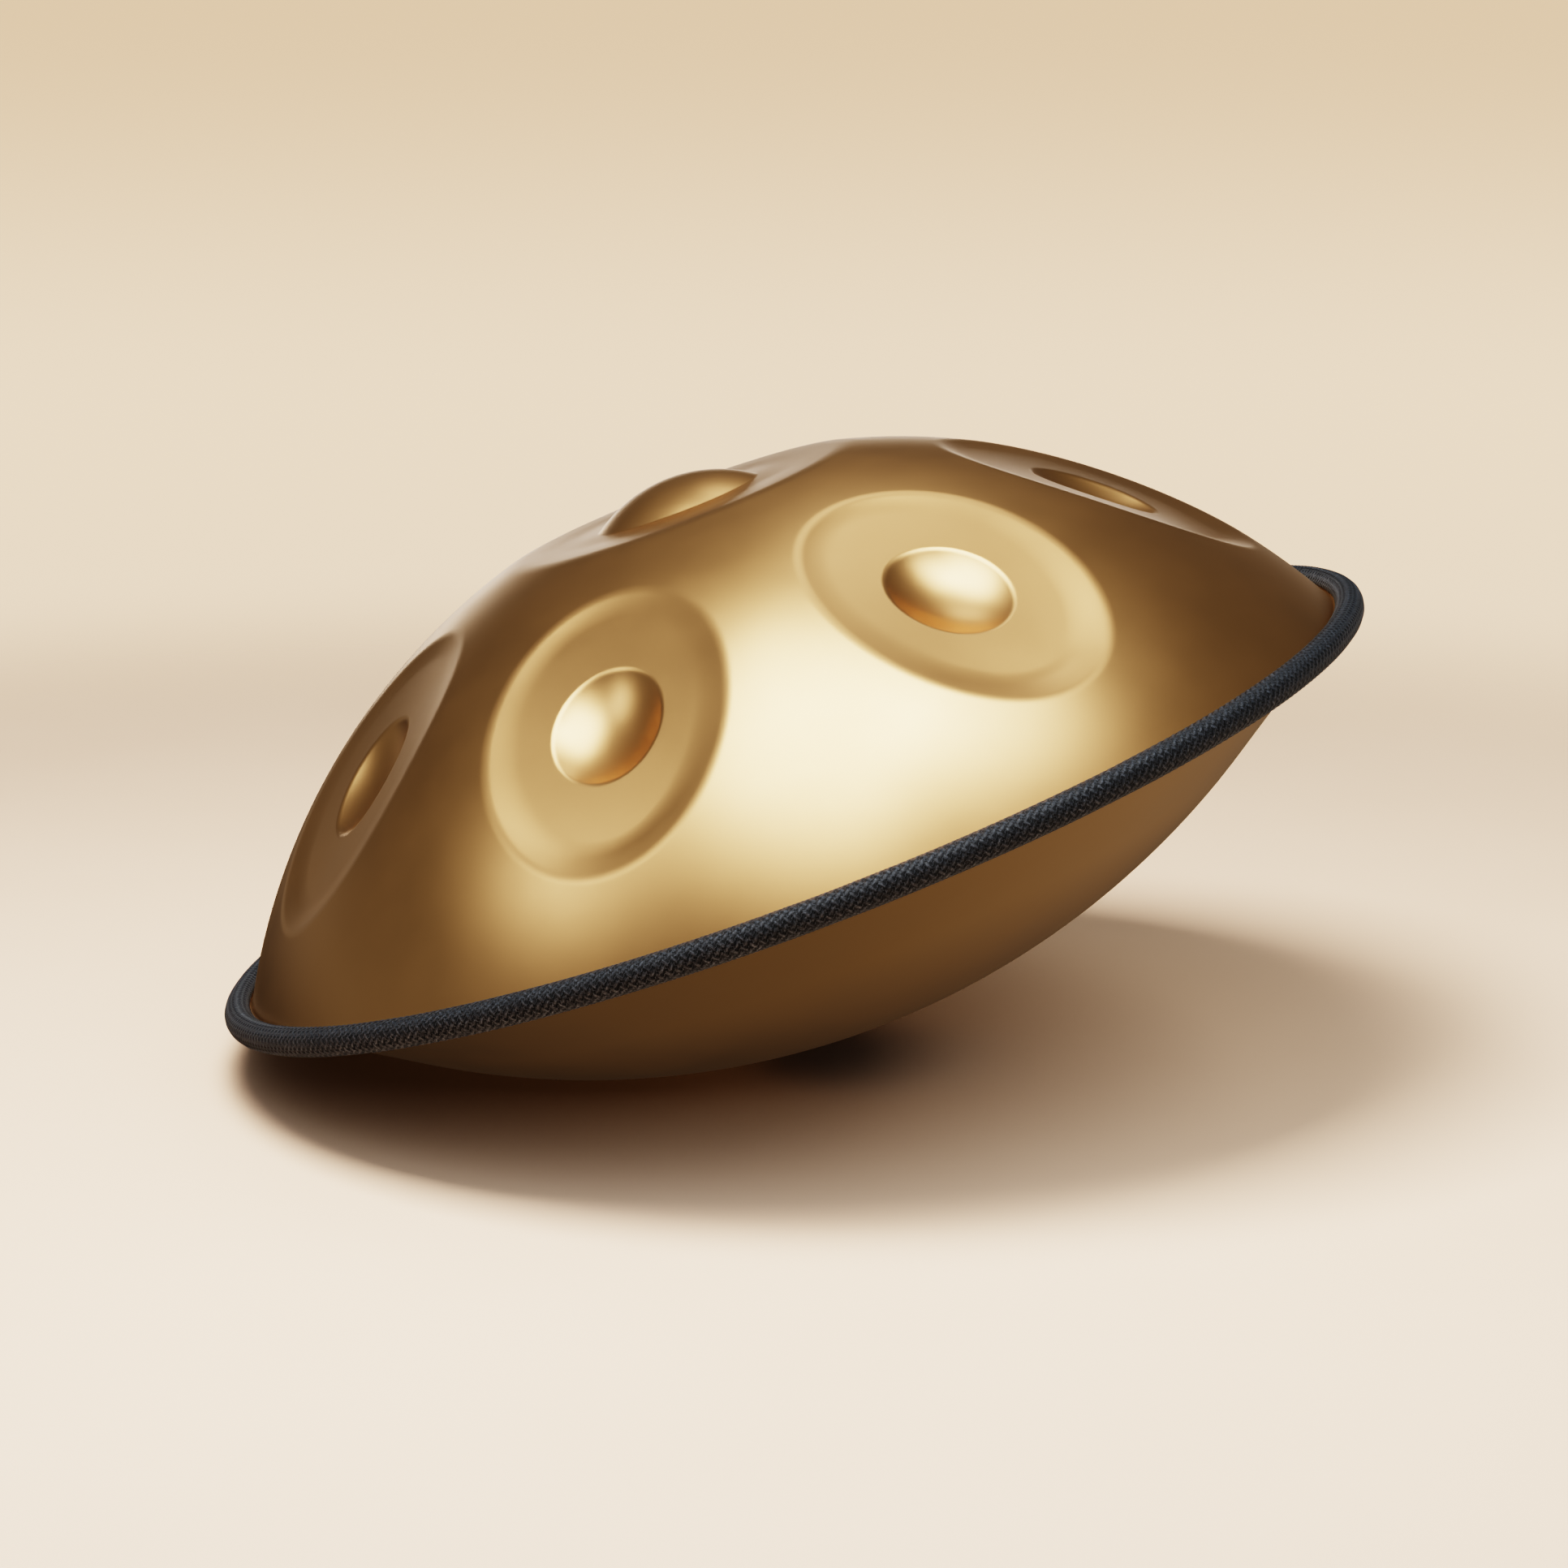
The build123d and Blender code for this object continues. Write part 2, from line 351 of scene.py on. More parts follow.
def add_field(sheet, azimuth, sectors, skip, depth):
    """One note's patch; gives the point numbers of its outermost ring."""
    origin, across, uphill, normal = note_frame()
    basis = np.stack((across, uphill, normal))
    turn = np.array(Matrix.Rotation(azimuth, 3, "Z"))
    rows = []
    rings = field_rings(sectors, skip)
    rings.append(np.array([(0.0, DIMPLE_UP)]))
    for ring in rings:
        x, y = ring.T
        local = np.stack((x, y, field_height(x, y)), 1)
        out = height_normals(field_height, x, y)
        local = local - out * depth
        rows.append(sheet.add((origin + local @ basis) @ turn.T, out @ basis @ turn.T))
    sheet.rings(rows[:-1])
    sheet.fan(int(rows[-1][0]), rows[-2])
    return rows[0]


def add_centre(sheet, sectors, skip, depth):
    """The centre note's patch; gives the point numbers of its outermost ring."""
    t = np.arange(sectors) / sectors * 2 * math.pi
    radii = [r for start, stop, step in CENTRE_RINGS for r in np.arange(start, stop, -step)]
    radii = radii[:1] + radii[1::skip]

    def height(x, y):
        return centre_height(np.hypot(x, y))

    rows = []
    for r in radii:
        x, y = r * np.cos(t), r * np.sin(t)
        out = height_normals(height, x, y)
        rows.append(sheet.add(np.stack((x, y, height(x, y)), 1) - out * depth, out))
    top = sheet.add(np.array([(0, 0, centre_height(0.0) - depth)]), np.array([(0, 0, 1.0)]))
    sheet.rings(rows)
    sheet.fan(int(top[0]), rows[-1])
    return rows[0]


def spread(point):
    """A point on the dome laid out flat, keeping distances from the top of the dome."""
    r = np.hypot(point[..., 0], point[..., 1])
    angle = np.arctan2(r, point[..., 2] - DOME_Z)
    return point[..., :2] / np.maximum(r, 1e-9)[..., None] * (angle * DOME_R)[..., None]


def wrap(flat, radius):
    """The reverse of spread, on a dome of another radius; gives points and normals."""
    reach = np.hypot(flat[:, 0], flat[:, 1])
    angle = reach / DOME_R
    east = flat[:, 0] / reach * np.sin(angle)
    north = flat[:, 1] / reach * np.sin(angle)
    out = np.stack((east, north, np.cos(angle)), 1)
    return out * radius + (0, 0, DOME_Z), out


def inside_loop(points, loop):
    """Which points lie inside a closed loop."""
    x, y = points[:, 0, None], points[:, 1, None]
    x0, y0 = loop[:, 0], loop[:, 1]
    x1, y1 = np.roll(x0, -1), np.roll(y0, -1)
    crosses = (y0 > y) != (y1 > y)
    height = np.where(y1 == y0, 1.0, y1 - y0)
    return (np.count_nonzero(crosses & (x < x0 + (y - y0) / height * (x1 - x0)), axis=1) % 2) == 1


def dome_grid(loops, edge, spacing):
    """Evenly spaced points on the flat dome that are clear of its holes and its edge."""
    reach = float(np.hypot(*edge[0]))
    row_gap = spacing * math.sqrt(3) / 2
    clear = spacing * GRID_CLEAR
    grid = []
    for row in range(-int(reach / row_gap), int(reach / row_gap) + 1):
        shift = spacing / 2 * (row % 2)
        for column in range(-int(reach / spacing) - 1, int(reach / spacing) + 1):
            grid.append((column * spacing + shift + GRID_SHIFT[0], row * row_gap + GRID_SHIFT[1]))
    grid = np.array(grid)
    keep = np.hypot(grid[:, 0], grid[:, 1]) < reach - clear
    for loop in loops:
        middle = loop.mean(0)
        wider = middle + (loop - middle) * (1 + clear / np.hypot(*(loop - middle).T).mean())
        keep &= ~inside_loop(grid, wider)
    return grid[keep]


def triangles_between(loops, edge, grid):
    """Triangles, as places in loops + edge + grid, that fill the edge and leave the loops open."""
    flat = np.concatenate(loops + [edge, grid])
    fences, start = [], 0
    for loop in loops + [edge]:
        count = len(loop)
        fences += [(start + i, start + (i + 1) % count) for i in range(count)]
        start += count
    corners = [Vector(p) for p in flat.tolist()]
    made, _, triangles, sources, _, _ = delaunay_2d_cdt(corners, fences, [], 0, 1e-6)
    source = np.array([s[0] if s else -1 for s in sources])
    triangles = np.array([t for t in triangles if len(t) == 3])
    middles = np.array([tuple(v) for v in made])[triangles].mean(1)
    good = (source[triangles] >= 0).all(1)
    good &= inside_loop(middles, edge)
    for loop in loops:
        good &= ~inside_loop(middles, loop)
    return source[triangles[good]]


def add_dome(sheet, holes, rim, spacing, depth):
    """Fills the dome between the notes' patches, the centre patch and the turned rim strip."""
    points, normals = np.array(sheet.points), np.array(sheet.normals)
    loops = [spread(points[ring] + normals[ring] * depth) for ring in holes]
    edge = spread(points[rim] + normals[rim] * depth)
    grid = dome_grid(loops, edge, spacing)
    inner = sheet.add(*wrap(grid, DOME_R - depth))
    numbers = np.concatenate(list(holes) + [rim, inner])
    for triangle in triangles_between(loops, edge, grid):
        sheet.faces.append(tuple(int(numbers[k]) for k in triangle))


def add_skin(sheet, rim, depth, mesh):
    """The whole top surface of the shell, or the same surface sunk by the sheet's thickness."""
    sectors, skip, spacing = mesh
    first = len(sheet.faces)
    holes = [
        add_field(sheet, FIRST_NOTE + k * 2 * math.pi / NOTES, sectors, skip, depth)
        for k in range(NOTES)
    ]
    holes.append(add_centre(sheet, sectors, skip, depth))
    add_dome(sheet, holes, rim, spacing, depth)
    if depth:
        sheet.faces[first:] = [face[::-1] for face in sheet.faces[first:]]


def arc(centre, radius, start, end, count):
    """Points and normals of an arc in the (radius, height) section, by angle."""
    angles = np.linspace(start, end, count)
    out = np.stack((np.cos(angles), np.sin(angles)), 1)
    return np.array(centre) + radius * out, out


def turned_rows(sheet, profile, normals, sectors):
    """Rings of points that a (radius, height) section makes when it is turned."""
    t = np.arange(sectors) / sectors * 2 * math.pi
    rows = []
    for (r, z), (nr, nz) in zip(profile, normals):
        ring = np.stack((r * np.cos(t), r * np.sin(t), np.full(sectors, z)), 1)
        out = np.stack((nr * np.cos(t), nr * np.sin(t), np.full(sectors, nz)), 1)
        rows.append(sheet.add(ring, out))
    return rows


def top_edge_profile():
    """The foot of the dome, its bend and the flange, outside and then back inside."""
    bend_z = FLANGE_TOP + DOME_BEND
    bend_r = math.sqrt((DOME_R + DOME_BEND) ** 2 - (bend_z - DOME_Z) ** 2)
    lean = math.atan2(bend_z - DOME_Z, bend_r)

    def side(depth, face):
        radius = DOME_R - depth
        start = math.asin((STRIP_Z - DOME_Z) / DOME_R)
        dome, out = arc((0, DOME_Z), radius, start, lean, 6)
        bend, into = arc((bend_r, bend_z), DOME_BEND + depth, lean + math.pi, 1.5 * math.pi, 6)
        level = FLANGE_TOP - depth
        flange = np.array([(bend_r + FLANGE_START, level), (FLANGE_R - EDGE_BREAK, level)])
        points = np.concatenate((dome, bend[1:], flange))
        facing = np.concatenate((out * face, -into[1:] * face, [(0, face), (0, face)]))
        return points, facing

    outer, outer_normals = side(0, 1)
    inner, inner_normals = side(SHEET, -1)
    edge = np.array([(FLANGE_R, FLANGE_TOP - EDGE_BREAK), (FLANGE_R, FLANGE_LOW + EDGE_BREAK)])
    profile = np.concatenate((outer, edge, inner[::-1]))
    normals = np.concatenate((outer_normals, [(1, 0), (1, 0)], inner_normals[::-1]))
    return profile, normals


def make_top_shell(material):
    """The sheet's outside, its turned rim, and its inside one thickness below, as one closed skin."""
    sheet = Sheet()
    rows = turned_rows(sheet, *top_edge_profile(), TOP_SECTORS)
    sheet.rings([row[::-1] for row in rows])
    add_skin(sheet, rows[0], 0, OUTSIDE_MESH)
    outside_end = len(sheet.points)
    # The inside is worked out with outward normals, so the row that it starts from is turned round
    # before, and all of them after.
    normals = np.array(sheet.normals)
    normals[rows[-1]] *= -1
    sheet.normals = normals.tolist()
    add_skin(sheet, rows[-1], SHEET, INSIDE_MESH)
    normals = np.array(sheet.normals)
    normals[outside_end:] *= -1
    normals[rows[-1]] *= -1
    new_piece(
        "top_shell_drawn", sheet.points, sheet.faces, material, normals, ("top_shell",)
    )


# ---------------------------------------------------------------- bottom shell
def bowl_side(depth):
    """Neck, rolled-in edge, belly, cone, bend and flange in section, from the neck's top."""
    belly_r = BOWL_R - depth
    curl_r = PORT_R + PORT_CURL
    curl_z = BOWL_Z - math.sqrt((BOWL_R - PORT_CURL) ** 2 - curl_r**2)
    foot_angle = math.atan2(curl_z - BOWL_Z, curl_r)
    wall_angle = BOWL_WALL - math.pi / 2
    bend_z = -FLANGE_TOP - BOWL_BEND
    cone = (BOWL_R * math.sin(BOWL_WALL), BOWL_Z - BOWL_R * math.cos(BOWL_WALL))
    out = (math.sin(BOWL_WALL), -math.cos(BOWL_WALL))
    bend_r = cone[0] + BOWL_BEND * out[0]
    bend_r += (bend_z - cone[1] - BOWL_BEND * out[1]) / math.tan(BOWL_WALL)
    neck_x = PORT_R + depth
    neck_top = curl_z + PORT_NECK - PORT_LIP
    neck = np.array([(neck_x, neck_top - k * NECK_ROW_GAP) for k in range(NECK_ROWS)])
    neck_out = np.tile((-1.0, 0.0), (NECK_ROWS, 1))
    curl, curl_out = arc((curl_r, curl_z), PORT_CURL - depth, math.pi, 2 * math.pi + foot_angle, 26)
    belly, belly_out = arc((0, BOWL_Z), belly_r, foot_angle, wall_angle, 40)
    reach = BOWL_BEND + depth
    bend, bend_in = arc((bend_r, bend_z), reach, wall_angle + math.pi, math.pi / 2, 8)
    level = -FLANGE_TOP + depth
    flange = np.array([(bend_r + FLANGE_START, level), (FLANGE_R - EDGE_BREAK, level)])
    points = np.concatenate((neck, curl, belly[1:], bend, flange))
    facing = np.concatenate((neck_out, curl_out, belly_out[1:], -bend_in, [(0, -1.0), (0, -1.0)]))
    return points, facing


def make_bottom_shell(material):
    """The bowl's section, both sides and both edges, turned into one closed skin."""
    outer, outer_normals = bowl_side(0)
    inner, inner_normals = bowl_side(SHEET)
    top = outer[0][1] + PORT_LIP
    lip = np.array([(PORT_R + SHEET - PORT_LIP_IN, top), (PORT_R + PORT_LIP_IN, top)])
    edge = np.array([(FLANGE_R, -FLANGE_TOP + EDGE_BREAK), (FLANGE_R, -FLANGE_LOW - EDGE_BREAK)])
    profile = np.concatenate((outer, edge, inner[::-1], lip))
    normals = np.concatenate((outer_normals, [(1, 0)] * 2, -inner_normals[::-1], [(0, 1)] * 2))
    sheet = Sheet()
    rows = turned_rows(sheet, profile, normals, BOTTOM_SECTORS)
    sheet.rings(rows + rows[:1])
    new_piece(
        "bottom_shell_drawn", sheet.points, sheet.faces, material, sheet.normals,
        ("bottom_shell",),
    )


# ---------------------------------------------------------------- rim
def turned_ring(loop, angle):
    """A (radius, height) loop stood up at an angle round the axis."""
    return np.stack((loop[:, 0] * math.cos(angle), loop[:, 0] * math.sin(angle), loop[:, 1]), 1)


def swept_loop(name, loop, start, end, steps, material, replaces):
    """A closed (radius, height) loop carried round the axis between two angles, with end caps."""
    angles = np.linspace(start, end, steps)
    sheet = Sheet()
    rows = []
    for a in angles:
        ring = turned_ring(loop, a)
        rows.append(sheet.add(ring, ring))
    sheet.rings(rows)
    sheet.faces.append(tuple(int(i) for i in rows[0][::-1]))
    sheet.faces.append(tuple(int(i) for i in rows[-1]))
    piece = new_piece(name, sheet.points, sheet.faces, material, None, replaces)
    piece.data.set_sharp_from_angle(angle=TRIM_SHARP)


def make_trim(material):
    """The rubber channel, with its two free edges rounded."""
    half = FLANGE_TOP + TRIM
    round_r = (TRIM - TRIM_LIP_FLAT) / 2
    back = FLANGE_R + TRIM
    seat = FLANGE_R + TRIM_CLEAR
    upper, _ = arc((TRIM_LIP_R + round_r, half - TRIM / 2), round_r, math.pi / 2, 1.5 * math.pi, 9)
    lower, _ = arc((TRIM_LIP_R + round_r, -half + TRIM / 2), round_r, math.pi / 2, 1.5 * math.pi, 9)
    corners = np.array([
        (back - TRIM_CORNER, -half),
        (back, -half + TRIM_CORNER),
        (back, half - TRIM_CORNER),
        (back - TRIM_CORNER, half),
    ])
    inside = np.array([(seat, FLANGE_TOP), (seat, -FLANGE_TOP)])
    loop = np.concatenate((upper, inside, lower, corners))[::-1]
    gap = ROPE_GAP / ROPE_RING_R
    swept_loop(
        "edge_trim_moulded", loop, JOIN_ANGLE + gap / 2, JOIN_ANGLE + 2 * math.pi - gap / 2, TRIM_STEPS,
        material, ("edge_trim",),
    )


def braid(turns, around):
    """Height of a plain braid, with the place across and along the upper strand, and its number."""
    a = turns - around
    b = turns + around
    ia, ib = np.floor(a), np.floor(b)
    ta, tb = 2 * (a - ia) - 1, 2 * (b - ib) - 1
    over_a = np.where(ia % 2 == 0, 1, -1) * np.sin(math.pi * b)
    over_b = -np.where(ib % 2 == 0, 1, -1) * np.sin(math.pi * a)
    high_a = BRAID_BULGE * np.sqrt(1 - BRAID_FLATTEN * ta**2) + BRAID_WEAVE * over_a
    high_b = BRAID_BULGE * np.sqrt(1 - BRAID_FLATTEN * tb**2) + BRAID_WEAVE * over_b
    a_on_top = high_a > high_b
    across = np.where(a_on_top, ta, tb)
    along = np.where(a_on_top, b, a)
    strand = np.where(a_on_top, ia * 2, ib * 2 + 1)
    return np.maximum(high_a, high_b), across, along, strand


def rope_surface(share, cells):
    """Rings of points of the braided cover, with each outer point's place on its strand."""
    slit = math.pi - math.asin((FLANGE_TOP + TRIM) / ROPE_R)
    phi = np.linspace(-slit, slit, ROPE_OUTER_POINTS)
    inner_end = slit - ROPE_INNER_MARGIN
    inner_phi = np.linspace(inner_end, -inner_end, ROPE_INNER_POINTS)
    s, p = np.meshgrid(share, phi, indexing="ij")
    height, across, along, strand = braid(s * cells, p / (2 * math.pi) * BRAID_STRANDS)
    lumps = ROPE_LUMPS * np.sin(s * cells * 0.37 + 2 * np.sin(s * 61)) * np.cos(p * 2 + s * cells * 0.11)
    radius = ROPE_R - BRAID_BULGE - BRAID_WEAVE + height + lumps
    radius = np.minimum(radius, ROPE_R + ROPE_PROUD)
    gap = ROPE_GAP / ROPE_RING_R
    angle = (JOIN_ANGLE + gap / 2 + share * (2 * math.pi - gap))[:, None]
    outer_r = ROPE_RING_R + radius * np.cos(p)
    outer = np.stack((outer_r * np.cos(angle), outer_r * np.sin(angle), radius * np.sin(p)), 2)
    inner_r = ROPE_RING_R + ROPE_INNER_R * np.cos(inner_phi) + 0 * angle
    inner_z = ROPE_INNER_R * np.sin(inner_phi) + 0 * inner_r
    inner = np.stack((inner_r * np.cos(angle), inner_r * np.sin(angle), inner_z), 2)
    return np.concatenate((outer, inner), 1), (across, along, strand)


def make_rope_sector(number, start, end, cells, material, replaces):
    """A length of the braided cover, open on the inner side where it sits on the channel."""
    steps = int(round((end - start) * cells * BRAID_STEPS)) + 1
    rings, places = rope_surface(np.linspace(start, end, steps), cells)
    count = rings.shape[1]
    base = (np.arange(steps - 1) * count)[:, None]
    i = np.arange(count)[None, :]
    j = (i + 1) % count
    quads = np.stack((base + i, base + count + i, base + count + j, base + j), 2).reshape(-1, 4)
    faces = quads.tolist()
    faces.append(list(range(count)))
    faces.append(list(range((steps - 1) * count, steps * count))[::-1])
    piece = new_piece(
        f"rope_jacket_braid_{number}", rings.reshape(-1, 3), faces, material, None, replaces
    )
    values = np.zeros((steps, count, 3), np.float32)
    for k, place in enumerate(places):
        values[:, :ROPE_OUTER_POINTS, k] = place
    layer = piece.data.attributes.new("strand", "FLOAT_VECTOR", "POINT")
    layer.data.foreach_set("vector", values.reshape(-1))


def make_rope(material):
    """The cover in a few lengths, with a whole number of crossings in each."""
    length = 2 * math.pi * ROPE_RING_R
    cells = int(round(length / BRAID_PITCH / ROPE_SECTORS)) * ROPE_SECTORS
    for k in range(ROPE_SECTORS):
        make_rope_sector(
            k + 1, k / ROPE_SECTORS, (k + 1) / ROPE_SECTORS, cells, material,
            ("rope_jacket",) if k == 0 else (),
        )


def make_patch(material):
    """Self-adhesive strip over the rope's butted ends, with rounded edges."""
    slit = math.pi - math.asin((FLANGE_TOP + TRIM + PATCH) / ROPE_R)
    phi = np.linspace(-slit, slit, PATCH_POINTS)
    half = PATCH_LENGTH / 2
    middle = np.linspace(PATCH_ROW_START, PATCH_LENGTH - PATCH_ROW_START, PATCH_ROWS)
    places = PATCH_ENDS + [(d, PATCH) for d in middle]
    places += [(PATCH_LENGTH - d, h) for d, h in PATCH_ENDS[::-1]]
    sheet = Sheet()
    rows = []
    for along, thick in places:
        a = JOIN_ANGLE + (along - half) / ROPE_RING_R
        ripple = PATCH_RIPPLE * np.sin(along * 2.1 + phi * 1.5) * min(1.0, thick / PATCH)
        r = ROPE_R + thick - PATCH_RIPPLE + ripple
        outer = np.stack((ROPE_RING_R + r * np.cos(phi), r * np.sin(phi)), 1)
        inner_r = ROPE_R - PATCH_OVERLAP
        inner = np.stack((ROPE_RING_R + inner_r * np.cos(phi[::-1]), inner_r * np.sin(phi[::-1])), 1)
        ring = turned_ring(np.concatenate((outer, inner)), a)
        rows.append(sheet.add(ring, ring))
    sheet.rings([row[::-1] for row in rows])
    sheet.faces.append(tuple(int(i) for i in rows[0]))
    sheet.faces.append(tuple(int(i) for i in rows[-1][::-1]))
    piece = new_piece(
        "rope_join_strip", sheet.points, sheet.faces, material, None, ("rope_join_patch",)
    )
    piece.data.set_sharp_from_angle(angle=PATCH_SHARP)


# ---------------------------------------------------------------- materials
def fill_ramp(node, stops):
    """Sets a colour ramp's (place, colour) stops."""
    elements = node.color_ramp.elements
    while len(elements) < len(stops):
        elements.new(0.5)
    for element, (place, colour) in zip(elements, stops):
        element.position = place
        element.color = (*colour, 1)


class Nodes:
    """Short names for building a material's nodes."""

    def __init__(self, name):
        self.material = bpy.data.materials.new(name)
        self.material.use_nodes = True
        self.tree = self.material.node_tree
        self.shader = self.tree.nodes["Principled BSDF"]
        self.output = self.tree.nodes["Material Output"]
        self.place = self.add("ShaderNodeTexCoord").outputs["Object"]

    def add(self, kind, **settings):
        node = self.tree.nodes.new(kind)
        for key, value in settings.items():
            if hasattr(node, key):
                setattr(node, key, value)
            else:
                node.inputs[key.replace("_", " ")].default_value = value
        return node

    def link(self, a, b):
        self.tree.links.new(a, b)

    def noise(self, scale, detail=3.0, rough=0.55, vector=None):
        node = self.add("ShaderNodeTexNoise", Scale=scale, Detail=detail, Roughness=rough)
        self.link(vector or self.place, node.inputs["Vector"])
        return node.outputs["Fac"]

    def ramp(self, value, stops):
        node = self.add("ShaderNodeValToRGB")
        fill_ramp(node, stops)
        self.link(value, node.inputs["Fac"])
        return node.outputs["Color"]

    def times(self, a, b):
        """One colour multiplied by another."""
        node = self.add("ShaderNodeMix", data_type="RGBA", blend_type="MULTIPLY")
        node.inputs["Factor"].default_value = 1.0
        self.link(a, node.inputs[6])
        self.link(b, node.inputs[7])
        return node.outputs[2]

    def span(self, value, low, high):
        """A noise's middle range stretched between two values."""
        node = self.add("ShaderNodeMapRange")
        node.inputs["From Min"].default_value = 0.3
        node.inputs["From Max"].default_value = 0.7
        node.inputs["To Min"].default_value = low
        node.inputs["To Max"].default_value = high
        self.link(value, node.inputs["Value"])
        return node.outputs["Result"]

    def bump(self, value, strength, distance, below=None):
        node = self.add("ShaderNodeBump", Strength=strength, Distance=distance)
        self.link(value, node.inputs["Height"])
        if below is not None:
            self.link(below, node.inputs["Normal"])
        return node.outputs["Normal"]

    def set(self, **values):
        for key, value in values.items():
            self.shader.inputs[key.replace("_", " ")].default_value = value


def steel_material():
    """Satin steel with a gold-coloured surface layer: fine even grain, faint clouding."""
    m = Nodes("satin_gold_steel")
    cloud = m.noise(7, 4, 0.6)
    grain = m.noise(1500, 2, 0.6)
    colour = m.ramp(cloud, [(0.3, (0.85, 0.51, 0.24)), (0.7, (0.89, 0.54, 0.26))])
    m.link(colour, m.shader.inputs["Base Color"])
    m.link(m.span(m.noise(23, 5, 0.6), 0.35, 0.39), m.shader.inputs["Roughness"])
    m.set(Metallic=1.0)
    m.link(m.bump(grain, 0.06, 0.0002), m.shader.inputs["Normal"])
    return m.material


def rope_material():
    """Black polyester braid: each strand's yarns run along it, and painted shade darkens each strand's
    edges in the gaps between strands.
    """
    m = Nodes("black_polyester_braid")
    strand = m.add("ShaderNodeAttribute", attribute_name="strand")
    split = m.add("ShaderNodeSeparateXYZ")
    m.link(strand.outputs["Vector"], split.inputs["Vector"])
    stretch = m.add("ShaderNodeCombineXYZ")
    for name, factor in (("X", 4.0), ("Y", 0.8), ("Z", 3.7)):
        part = m.add("ShaderNodeMath", operation="MULTIPLY")
        part.inputs[1].default_value = factor
        m.link(split.outputs[name], part.inputs[0])
        m.link(part.outputs[0], stretch.inputs[name])
    yarn = m.noise(1.0, 2, 0.5, stretch.outputs["Vector"])
    fuzz = m.noise(1400, 3, 0.6)
    colour = m.ramp(yarn, [(0.32, (0.035, 0.038, 0.043)), (0.68, (0.115, 0.128, 0.145))])
    # Painted shade: the colour falls from each strand's middle to its edges, darkening the gaps between
    # strands where the braid dips into shade.
    gap = m.add("ShaderNodeMath", operation="ABSOLUTE")
    m.link(split.outputs["X"], gap.inputs[0])
    painted_gap_shade = m.ramp(gap.outputs[0], [(0.12, (1, 1, 1)), (0.72, (0.04, 0.04, 0.04))])
    speck = m.ramp(fuzz, [(0.42, (0.6, 0.61, 0.63)), (0.72, (1.6, 1.7, 1.8))])
    m.link(m.times(m.times(colour, speck), painted_gap_shade), m.shader.inputs["Base Color"])
    m.link(m.span(yarn, 0.42, 0.62), m.shader.inputs["Roughness"])
    m.set(Sheen_Weight=0.12, Sheen_Roughness=0.4, Specular_IOR_Level=0.5)
    under = m.bump(yarn, 0.5, 0.0003)
    m.link(m.bump(fuzz, 0.5, 0.0002, under), m.shader.inputs["Normal"])
    return m.material


def rubber_material(name, tone, rough):
    """Black rubber with a fine pebbled skin and a dusty bloom."""
    m = Nodes(name)
    bloom = m.noise(40, 5, 0.6)
    dark = tuple(c * 0.75 for c in tone)
    light = tuple(c * 1.4 for c in tone)
    m.link(m.ramp(bloom, [(0.35, dark), (0.7, light)]), m.shader.inputs["Base Color"])
    m.link(m.span(m.noise(300, 3), rough - 0.07, rough + 0.09), m.shader.inputs["Roughness"])
    m.link(m.bump(m.noise(2200, 2), 0.25, 0.0001), m.shader.inputs["Normal"])
    return m.material


def laid_fibre_material():
    """Undyed filling of the rope, with its yarns running round the rim."""
    m = Nodes("undyed_laid_fibre")
    wave = m.add("ShaderNodeTexWave", wave_type="BANDS", Scale=260.0, Distortion=3.0, Detail=2.0)
    m.link(m.place, wave.inputs["Vector"])
    colour = m.ramp(wave.outputs["Fac"], [(0.0, (0.48, 0.46, 0.40)), (1.0, (0.72, 0.70, 0.64))])
    m.link(colour, m.shader.inputs["Base Color"])
    m.set(Roughness=0.85, Sheen_Weight=0.2)
    m.link(m.bump(wave.outputs["Fac"], 0.6, 0.0004), m.shader.inputs["Normal"])
    return m.material


def adhesive_material():
    """Cured amber adhesive, a little uneven."""
    m = Nodes("cured_adhesive")
    cloud = m.noise(90, 4)
    colour = m.ramp(cloud, [(0.3, (0.36, 0.27, 0.13)), (0.7, (0.55, 0.45, 0.26))])
    m.link(colour, m.shader.inputs["Base Color"])
    m.link(m.span(cloud, 0.3, 0.5), m.shader.inputs["Roughness"])
    m.link(m.bump(m.noise(500, 3), 0.4, 0.0003), m.shader.inputs["Normal"])
    return m.material


def dress_node(name, material):
    """Gives a CAD node its finish."""
    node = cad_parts[name]
    node.data.materials.clear()
    node.data.materials.append(material)


# ---------------------------------------------------------------- view, floor and light
def view_axes():
    """The view's right, up and backward directions, and the camera's place."""
    level_right = Vector((1, 0, 0))
    back = Vector((0, -math.cos(ELEVATION), math.sin(ELEVATION)))
    level_up = back.cross(level_right)
    right = level_right * math.cos(ROLL) - level_up * math.sin(ROLL)
    up = level_right * math.sin(ROLL) + level_up * math.cos(ROLL)
    rim_centre = Vector((0, 0, SEAM * MM))
    place = rim_centre + back * DISTANCE + right * AIM_RIGHT + up * AIM_UP
    return right, up, back, place


def make_camera():
    """The scene's camera, rolled so that the upright instrument leans in the picture."""
    right, up, back, place = view_axes()
    data = bpy.data.cameras.new("view")
    data.sensor_width = 36
    data.angle = FIELD_OF_VIEW
    data.clip_end = 50
    camera = bpy.data.objects.new("view", data)
    turn = Matrix((right, up, back)).transposed().to_4x4()
    camera.matrix_world = Matrix.Translation(place) @ turn
    bpy.context.scene.collection.objects.link(camera)
    bpy.context.scene.camera = camera


def stage_axes():
    """Level right, level forward (towards the camera) and straight up on the floor it rests on."""
    right, up, back, _ = view_axes()
    floor_up = up * math.cos(FLOOR_PITCH) + back * math.sin(FLOOR_PITCH)
    near = right.cross(floor_up)
    return right, near, floor_up


